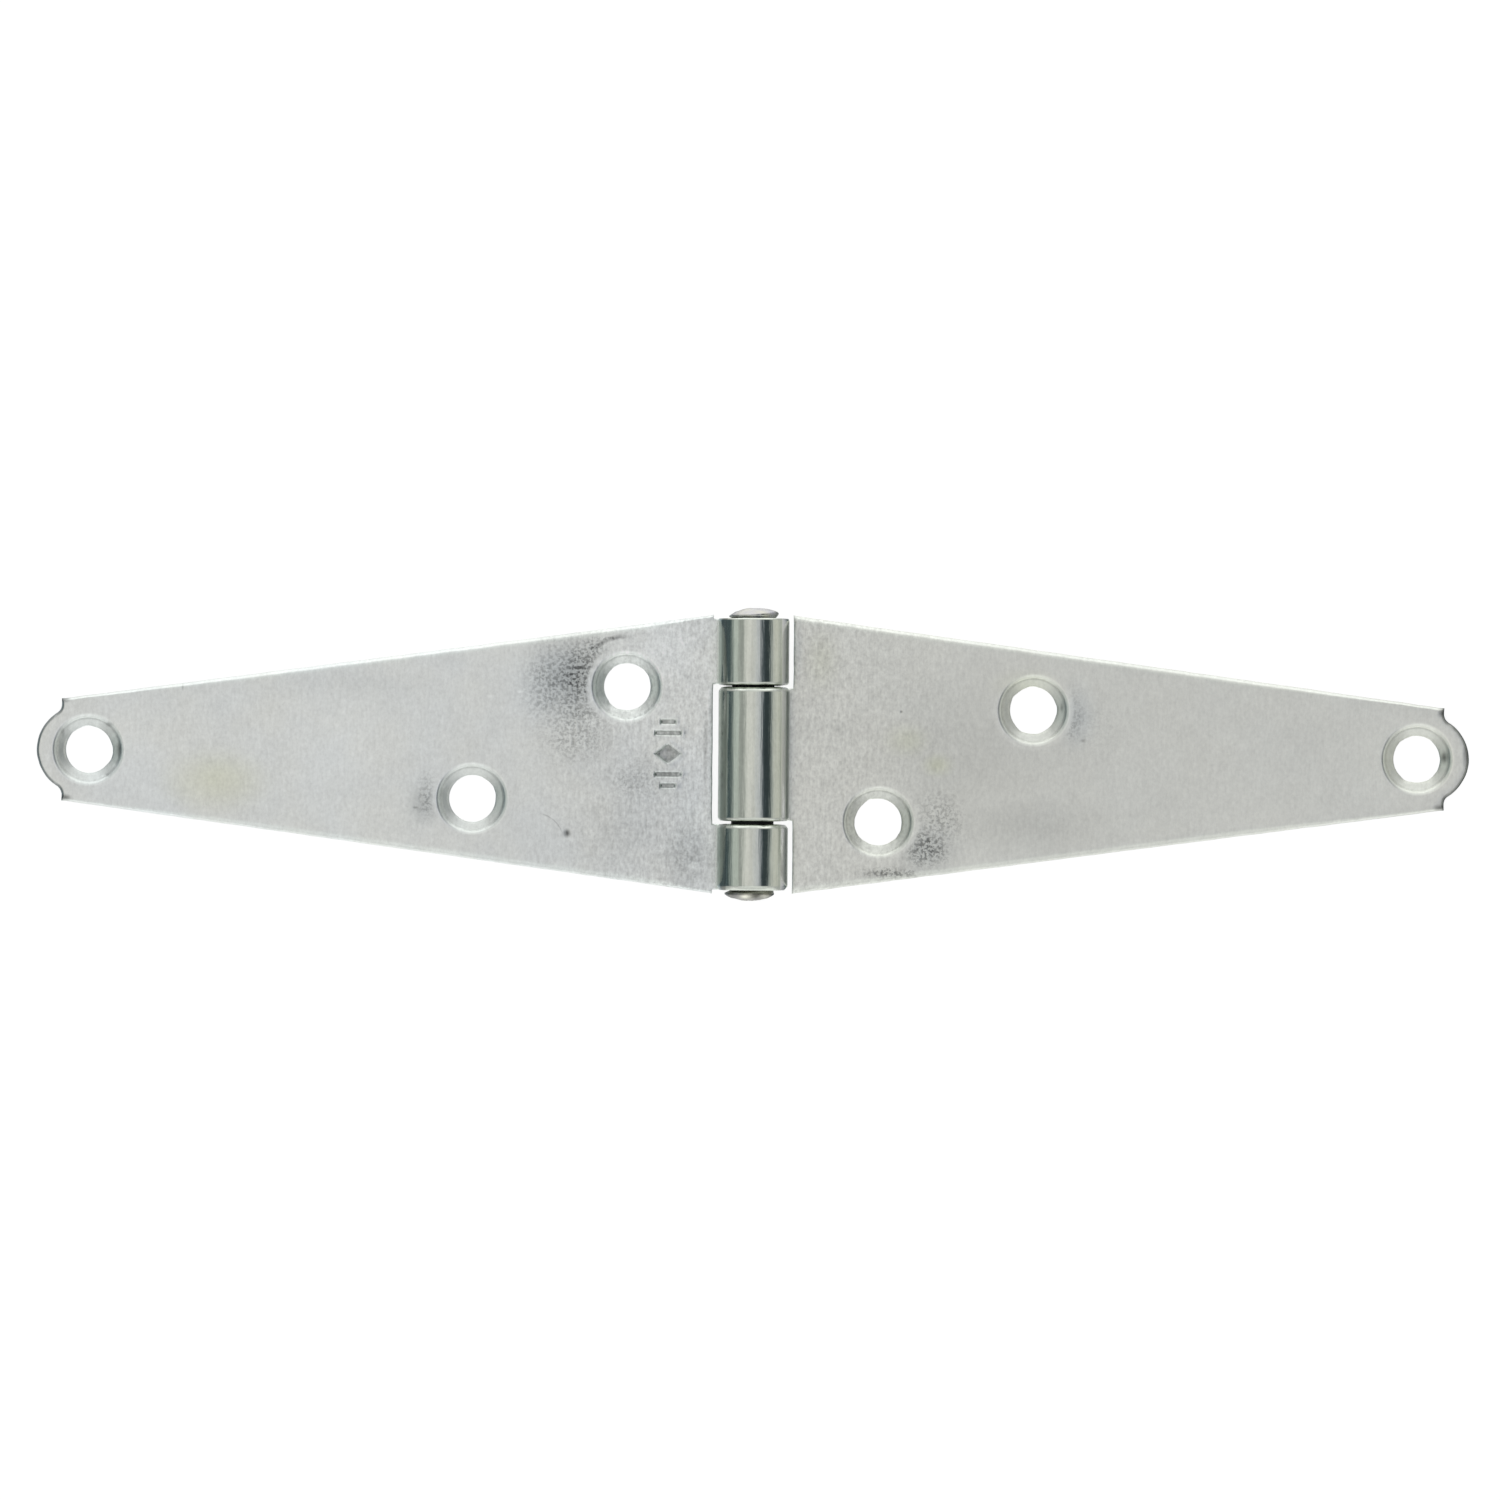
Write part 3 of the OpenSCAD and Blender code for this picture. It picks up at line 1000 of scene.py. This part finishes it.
def add_world():
    world = bpy.data.worlds.new("studio")
    bpy.context.scene.world = world
    world.use_nodes = True
    world.node_tree.nodes.clear()
    net = Net(world.node_tree)
    direction = net.node("ShaderNodeTexCoord").outputs["Generated"]
    x, y, z = net.node("ShaderNodeSeparateXYZ", (direction,)).outputs
    turn = net.math("ARCTAN2", x, z)
    around = net.math("MULTIPLY_ADD", turn, 0.5 / math.pi, 0.5)
    arch = net.node("ShaderNodeValToRGB", (around,))
    stops = arch.color_ramp.elements
    while len(stops) < len(SKY_ARCH):
        stops.new(1.0)
    angles, reds, blues = zip(*ARCH_TINTS)
    for stop, (angle, radiance) in zip(stops, SKY_ARCH):
        stop.position = angle / 360 + 0.5
        dark = max(0.0, 1 - radiance / 0.4)
        red, blue = (float(np.interp(angle, angles, c)) for c in (reds, blues))
        tints = zip(DARK_TINT, (red, 1.0, blue))
        stop.color = [radiance * (1 + dark * (t - 1)) * here for t, here in tints] + [1.0]
    across = net.math("ABSOLUTE", y)
    upper, high = net.remap(z, -0.12, 0.02), net.remap(z, 0.1, 0.5)
    sides = net.mix(upper, *[grey(v) for v in SKY_SIDES])
    south, north = [
        net.mix(high, net.mix(upper, grey(below), grey(low)), grey(top))
        for below, low, top in (SOUTH_END, NORTH_END)
    ]
    ends = net.mix(net.remap(y, -0.1, 0.1), south, north)
    sky = net.mix(net.remap(across, 0.25, 0.60), arch.outputs[0], sides)
    facing = net.math("SUBTRACT", across, net.times(net.math("ABSOLUTE", x), 0.75))
    sky = net.mix(net.remap(facing, 0.14, 0.52), sky, ends)
    seen = net.node("ShaderNodeLightPath").outputs["Is Camera Ray"]
    background = net.node("ShaderNodeBackground", (net.mix(seen, sky, grey(1.05)), 1.0))
    out = net.node("ShaderNodeOutputWorld")
    net.tree.links.new(background.outputs[0], out.inputs[0])


# The camera looks straight down from far away: metres, and degrees round its own axis
CAMERA_HEIGHT, VIEW_WIDTH = 0.8, 0.15963
CAMERA_OFF, CAMERA_TURN = (-0.0003, 0.00046), 0.42


def add_camera():
    """The camera of the photograph, slightly off the pin's middle and slightly turned."""
    camera_data = bpy.data.cameras.new("camera")
    camera = bpy.data.objects.new("camera", camera_data)
    bpy.context.scene.collection.objects.link(camera)
    camera_data.sensor_width = 36
    camera_data.lens = camera_data.sensor_width * CAMERA_HEIGHT / VIEW_WIDTH
    camera_data.clip_start, camera_data.clip_end = 0.01, 20
    camera.location = (*CAMERA_OFF, CAMERA_HEIGHT)
    camera.rotation_euler = (0, 0, math.radians(CAMERA_TURN))
    bpy.context.scene.camera = camera


add_floor()
add_world()
add_camera()
bpy.context.scene.view_settings.view_transform = "Standard"

# ------------------------------------------------ ties to the frame
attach(frame_plate, "frame_side")
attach(pin, "frame_side")
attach(door_plate, "door_side")
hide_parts("frame_leaf")
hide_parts("door_leaf")
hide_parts("hinge_pin")
